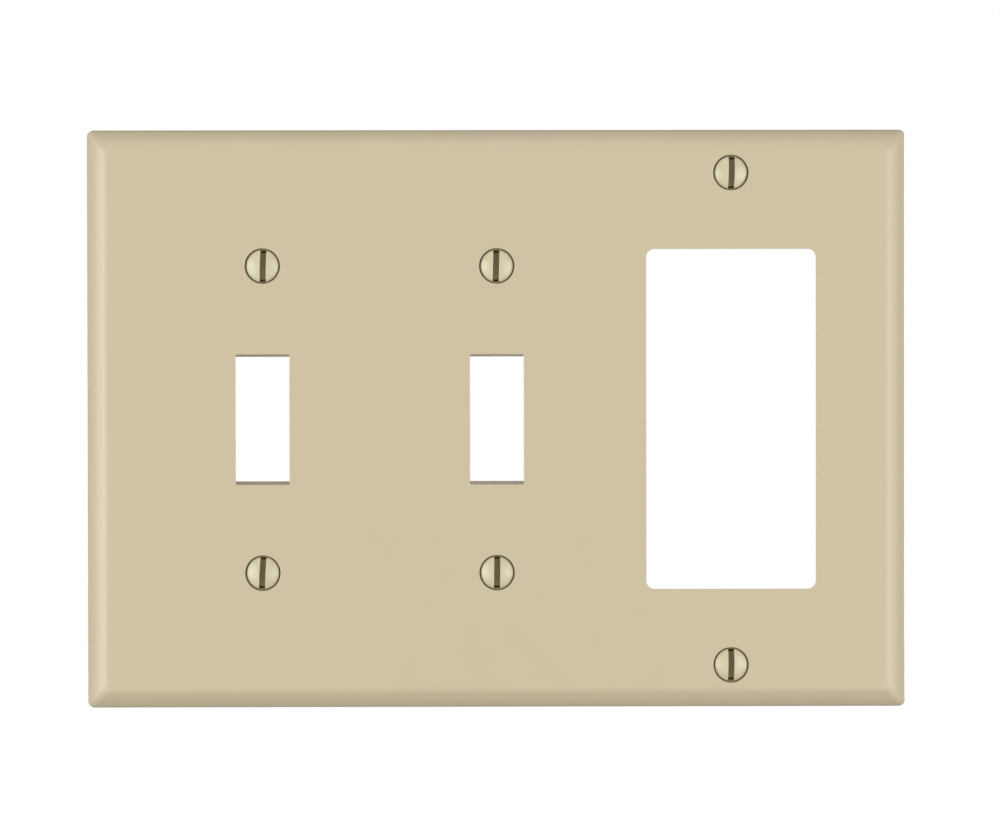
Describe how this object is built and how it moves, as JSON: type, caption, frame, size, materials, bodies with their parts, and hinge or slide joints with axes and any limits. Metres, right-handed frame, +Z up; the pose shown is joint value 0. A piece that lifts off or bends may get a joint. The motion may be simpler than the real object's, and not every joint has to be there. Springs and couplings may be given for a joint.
{
  "type": "combination wall plate with screws",
  "caption": "Ivory combination wall plate for toggle switches beside a decorator device, with a rolled edge and slotted oval-head screws in recessed holes.",
  "frame": {"origin": "centre of the plate on the wall plane that its rim rests on", "axes": "+X to the right and +Z up as the plate hangs, +Y into the wall; the front faces -Y"},
  "size_m": [0.162, 0.0138, 0.1142],
  "materials": {
    "plate_thermoset": "ivory moulded urea thermoset, smooth satin",
    "screw_enamelled_steel": "ivory enamel on steel, semi-gloss"
  },
  "bodies": {
    "wall_plate": {"wall_plate": "plate_thermoset"},
    "left_toggle_top_screw": {"left_toggle_top_screw": "screw_enamelled_steel"},
    "left_toggle_bottom_screw": {"left_toggle_bottom_screw": "screw_enamelled_steel"},
    "middle_toggle_top_screw": {"middle_toggle_top_screw": "screw_enamelled_steel"},
    "middle_toggle_bottom_screw": {"middle_toggle_bottom_screw": "screw_enamelled_steel"},
    "decorator_top_screw": {"decorator_top_screw": "screw_enamelled_steel"},
    "decorator_bottom_screw": {"decorator_bottom_screw": "screw_enamelled_steel"}
  },
  "joints": [
    {"name": "left_toggle_top_screw_out", "type": "slide", "parent": "wall_plate", "child": "left_toggle_top_screw", "axis": [0, -1, 0], "range_m": [0, 0.016]},
    {"name": "left_toggle_bottom_screw_out", "type": "slide", "parent": "wall_plate", "child": "left_toggle_bottom_screw", "axis": [0, -1, 0], "range_m": [0, 0.016]},
    {"name": "middle_toggle_top_screw_out", "type": "slide", "parent": "wall_plate", "child": "middle_toggle_top_screw", "axis": [0, -1, 0], "range_m": [0, 0.016]},
    {"name": "middle_toggle_bottom_screw_out", "type": "slide", "parent": "wall_plate", "child": "middle_toggle_bottom_screw", "axis": [0, -1, 0], "range_m": [0, 0.016]},
    {"name": "decorator_top_screw_out", "type": "slide", "parent": "wall_plate", "child": "decorator_top_screw", "axis": [0, -1, 0], "range_m": [0, 0.016]},
    {"name": "decorator_bottom_screw_out", "type": "slide", "parent": "wall_plate", "child": "decorator_bottom_screw", "axis": [0, -1, 0], "range_m": [0, 0.016]}
  ]
}
